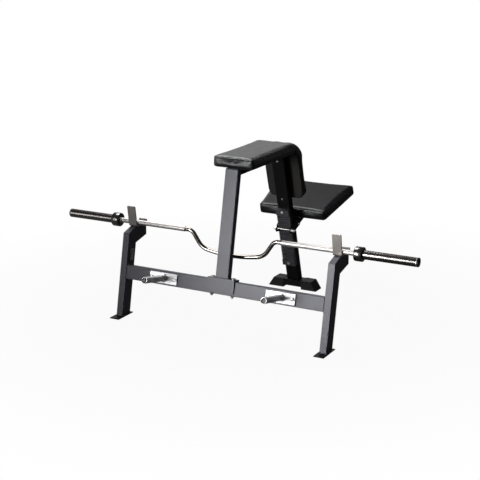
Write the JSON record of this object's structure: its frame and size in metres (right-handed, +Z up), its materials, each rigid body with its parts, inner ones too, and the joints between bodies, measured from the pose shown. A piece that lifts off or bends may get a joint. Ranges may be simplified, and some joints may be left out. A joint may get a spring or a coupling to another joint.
{
  "type": "seal row bench",
  "caption": "Raised bench for prone rows: chest pad on a leaning frame, height-adjustable seat, and a cambered bar in two cups.",
  "frame": {"origin": "on the floor under the middle of the bench's bounding box", "axes": "+X along the bar to the user's right when lying face down towards the bar, +Y from the bar towards the seat, +Z up"},
  "size_m": [2.168, 1.4305, 0.9566],
  "materials": {
    "cross_beam": "semi-gloss powder coat",
    "left_upright": "semi-gloss powder coat",
    "right_upright": "semi-gloss powder coat",
    "left_foot_plate": "semi-gloss powder coat",
    "right_foot_plate": "semi-gloss powder coat",
    "front_post": "semi-gloss powder coat",
    "post_saddle": "satin powder coat",
    "top_rail": "satin powder coat",
    "rear_post": "satin powder coat",
    "rack_strip": "satin powder coat",
    "rear_cross_tube": "satin powder coat",
    "left_carriage_plate": "satin powder coat",
    "right_carriage_plate": "satin powder coat",
    "seat_mount_plate": "satin powder coat",
    "left_bar_cup": "satin",
    "right_bar_cup": "satin",
    "side_panel": "satin",
    "left_saddle_bolt": "bright zinc plate",
    "right_saddle_bolt": "bright zinc plate",
    "left_saddle_nut": "bright zinc plate",
    "right_saddle_nut": "bright zinc plate",
    "left_peg_plate": "bright zinc plate",
    "right_peg_plate": "bright zinc plate",
    "left_peg_outer_bolt": "bright zinc plate",
    "left_peg_inner_bolt": "bright zinc plate",
    "right_peg_outer_bolt": "bright zinc plate",
    "right_peg_inner_bolt": "bright zinc plate",
    "left_peg_ring": "bright zinc plate",
    "right_peg_ring": "bright zinc plate",
    "chest_pad_front_screw": "bright zinc plate",
    "chest_pad_rear_screw": "bright zinc plate",
    "thigh_pad_lower_bolt": "bright zinc plate",
    "thigh_pad_upper_bolt": "bright zinc plate",
    "rack_lower_bolt": "bright zinc plate",
    "rack_upper_bolt": "bright zinc plate",
    "left_rod_nut": "bright zinc plate",
    "right_rod_nut": "bright zinc plate",
    "guide_bolt": "bright zinc plate",
    "guide_nut": "bright zinc plate",
    "left_seat_screw": "bright zinc plate",
    "right_seat_screw": "bright zinc plate",
    "left_peg": "polished",
    "right_peg": "polished",
    "latch_rod": "polished",
    "bar_shaft": "polished",
    "left_sleeve": "polished",
    "right_sleeve": "polished",
    "chest_pad": "grained vinyl",
    "thigh_pad": "grained vinyl",
    "seat_pad": "grained vinyl",
    "chest_pad_board": "raw",
    "thigh_pad_board": "raw",
    "seat_board": "raw",
    "left_rear_foot": "matt",
    "right_rear_foot": "matt",
    "left_end_cap": "matt",
    "right_end_cap": "matt",
    "left_bushing": "machined",
    "right_bushing": "machined",
    "rear_guide": "moulded"
  },
  "bodies": {
    "frame": {"cross_beam": "cross_beam", "left_upright": "left_upright", "right_upright": "right_upright", "left_foot_plate": "left_foot_plate", "right_foot_plate": "right_foot_plate", "front_post": "front_post", "post_saddle": "post_saddle", "top_rail": "top_rail", "rear_post": "rear_post", "rack_strip": "rack_strip", "rear_cross_tube": "rear_cross_tube", "left_bar_cup": "left_bar_cup", "right_bar_cup": "right_bar_cup", "side_panel": "side_panel", "left_saddle_bolt": "left_saddle_bolt", "right_saddle_bolt": "right_saddle_bolt", "left_saddle_nut": "left_saddle_nut", "right_saddle_nut": "right_saddle_nut", "left_peg_plate": "left_peg_plate", "right_peg_plate": "right_peg_plate", "left_peg_outer_bolt": "left_peg_outer_bolt", "left_peg_inner_bolt": "left_peg_inner_bolt", "right_peg_outer_bolt": "right_peg_outer_bolt", "right_peg_inner_bolt": "right_peg_inner_bolt", "left_peg_ring": "left_peg_ring", "right_peg_ring": "right_peg_ring", "chest_pad_front_screw": "chest_pad_front_screw", "chest_pad_rear_screw": "chest_pad_rear_screw", "thigh_pad_lower_bolt": "thigh_pad_lower_bolt", "thigh_pad_upper_bolt": "thigh_pad_upper_bolt", "rack_lower_bolt": "rack_lower_bolt", "rack_upper_bolt": "rack_upper_bolt", "left_peg": "left_peg", "right_peg": "right_peg", "chest_pad": "chest_pad", "thigh_pad": "thigh_pad", "chest_pad_board": "chest_pad_board", "thigh_pad_board": "thigh_pad_board", "left_rear_foot": "left_rear_foot", "right_rear_foot": "right_rear_foot"},
    "bar": {"bar_shaft": "bar_shaft"},
    "left_sleeve_body": {"left_sleeve": "left_sleeve", "left_bushing": "left_bushing", "left_end_cap": "left_end_cap"},
    "right_sleeve_body": {"right_sleeve": "right_sleeve", "right_bushing": "right_bushing", "right_end_cap": "right_end_cap"},
    "seat": {"left_carriage_plate": "left_carriage_plate", "right_carriage_plate": "right_carriage_plate", "latch_rod": "latch_rod", "left_rod_nut": "left_rod_nut", "right_rod_nut": "right_rod_nut", "rear_guide": "rear_guide", "guide_bolt": "guide_bolt", "guide_nut": "guide_nut", "seat_mount_plate": "seat_mount_plate", "left_seat_screw": "left_seat_screw", "right_seat_screw": "right_seat_screw", "seat_board": "seat_board", "seat_pad": "seat_pad"}
  },
  "joints": [
    {"name": "bar_lift", "type": "slide", "parent": "frame", "child": "bar", "axis": [0, 0.1977, 0.9803], "range_m": [0, 0.4]},
    {"name": "left_sleeve_spin", "type": "hinge", "parent": "bar", "child": "left_sleeve_body", "pos_m": [-0.909, -0.37362, 0.5191], "axis": [1, 0, 0], "continuous": true},
    {"name": "right_sleeve_spin", "type": "hinge", "parent": "bar", "child": "right_sleeve_body", "pos_m": [0.909, -0.37362, 0.5191], "axis": [1, 0, 0], "continuous": true},
    {"name": "seat_height", "type": "slide", "parent": "frame", "child": "seat", "axis": [0, -0.2773, 0.9608], "range_m": [-0.2, 0.075]}
  ]
}
